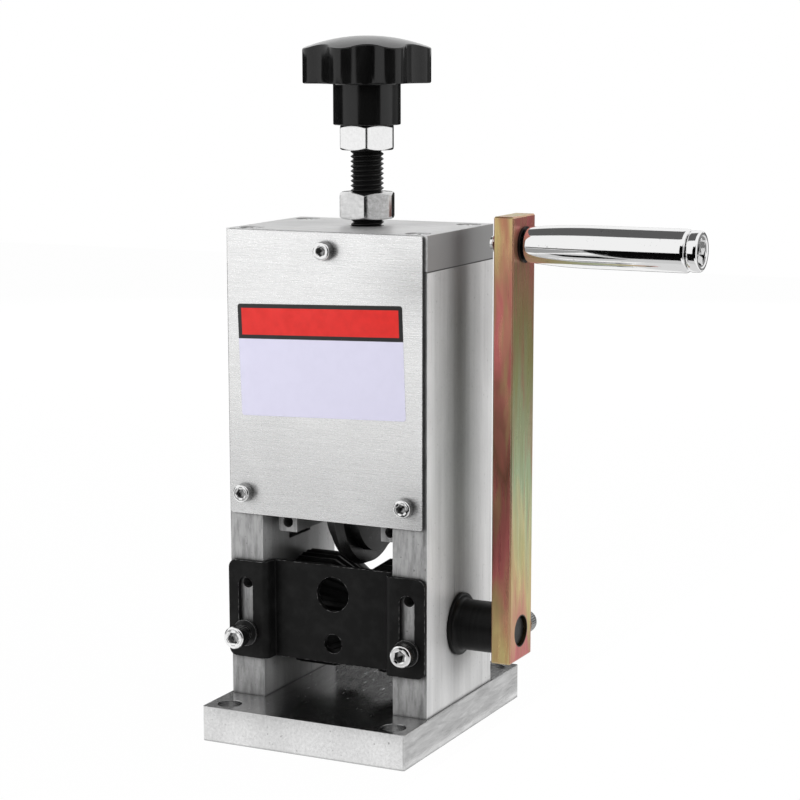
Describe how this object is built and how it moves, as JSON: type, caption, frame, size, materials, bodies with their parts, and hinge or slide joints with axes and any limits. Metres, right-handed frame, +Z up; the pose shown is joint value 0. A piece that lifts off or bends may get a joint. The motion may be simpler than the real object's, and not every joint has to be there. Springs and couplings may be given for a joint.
{
  "type": "hand crank wire stripper",
  "caption": "Bench wire stripper: a hand crank turns a grooved feed roller under a round blade whose height is set by a star knob on a screw, in an aluminium frame.",
  "frame": {"origin": "middle of the underside of the base plate", "axes": "+Z up, +X towards the crank, -Y towards the user, where the wire goes in"},
  "size_m": [0.1757, 0.102, 0.2542],
  "materials": {
    "aluminium_plate": "milled",
    "brushed_cover": "fine brushed",
    "bright_fastener": "bright zinc",
    "black_sheet": "satin black",
    "black_oxide": "black oxide",
    "yellow_zinc": "iridescent yellow zinc",
    "chrome_grip": "mirror",
    "knob_plastic": "gloss",
    "black_sleeve": "satin",
    "bush_bronze": "sintered",
    "tool_steel": "ground"
  },
  "bodies": {
    "frame": {"base_plate": "aluminium_plate", "base_screws": "bright_fastener", "side_plate_left": "aluminium_plate", "side_plate_right": "aluminium_plate", "top_block": "aluminium_plate", "top_screws": "bright_fastener", "front_cover": "brushed_cover", "rear_cover": "brushed_cover", "front_cover_screws": "bright_fastener", "rear_cover_screws": "bright_fastener", "guide_screws": "bright_fastener", "guide_washers": "bright_fastener", "shaft_bush_left": "bush_bronze", "shaft_bush_right": "bush_bronze"},
    "drive": {"drive_shaft": "black_oxide", "roller_key": "tool_steel", "feed_roller": "black_oxide", "end_washer": "bright_fastener", "shaft_circlip": "black_oxide", "spacer_sleeve": "black_sleeve", "crank_arm": "yellow_zinc", "crank_clamp_screw": "bright_fastener", "handle_bolt": "chrome_grip", "handle_washer": "black_oxide"},
    "grip": {"handle_grip": "chrome_grip"},
    "carriage": {"blade_carriage": "aluminium_plate", "axle_screws": "black_oxide", "screw_retainer": "tool_steel", "retainer_screws": "bright_fastener", "blade_axle": "tool_steel", "blade_spacer_left": "black_oxide", "blade_spacer_right": "black_oxide"},
    "blade": {"cutting_blade": "tool_steel"},
    "adjuster": {"adjusting_screw": "black_oxide", "knob_nut": "bright_fastener", "star_knob": "knob_plastic"},
    "lock_nut": {"lock_nut": "bright_fastener"},
    "guide": {"wire_guide": "black_sheet"}
  },
  "joints": [
    {"name": "crank_spin", "type": "hinge", "parent": "frame", "child": "drive", "pos_m": [0, -0.002, 0.042], "axis": [1, 0, 0], "continuous": true},
    {"name": "handle_spin", "type": "hinge", "parent": "drive", "child": "grip", "pos_m": [0.09, -0.002, 0.1819], "axis": [1, 0, 0], "continuous": true},
    {"name": "carriage_slide", "type": "slide", "parent": "frame", "child": "carriage", "axis": [0, 0, 1], "range_m": [-0.0027, 0.014]},
    {"name": "knob_turn", "type": "hinge", "parent": "carriage", "child": "adjuster", "pos_m": [0.0016, 0, 0.2], "axis": [0, 0, 1], "range_deg": [-600, 2890]},
    {"name": "blade_spin", "type": "hinge", "parent": "carriage", "child": "blade", "pos_m": [0.0016, -0.002, 0.087], "axis": [1, 0, 0], "continuous": true},
    {"name": "lock_nut_slide", "type": "slide", "parent": "frame", "child": "lock_nut", "axis": [0, 0, 1], "range_m": [-0.0026, 0.01]},
    {"name": "guide_slide", "type": "slide", "parent": "frame", "child": "guide", "axis": [0, 0, 1], "range_m": [-0.0145, 0]}
  ],
  "couplings": [
    {"joint": "knob_turn", "follows": "carriage_slide", "rad_per_m": 3590.4}
  ]
}
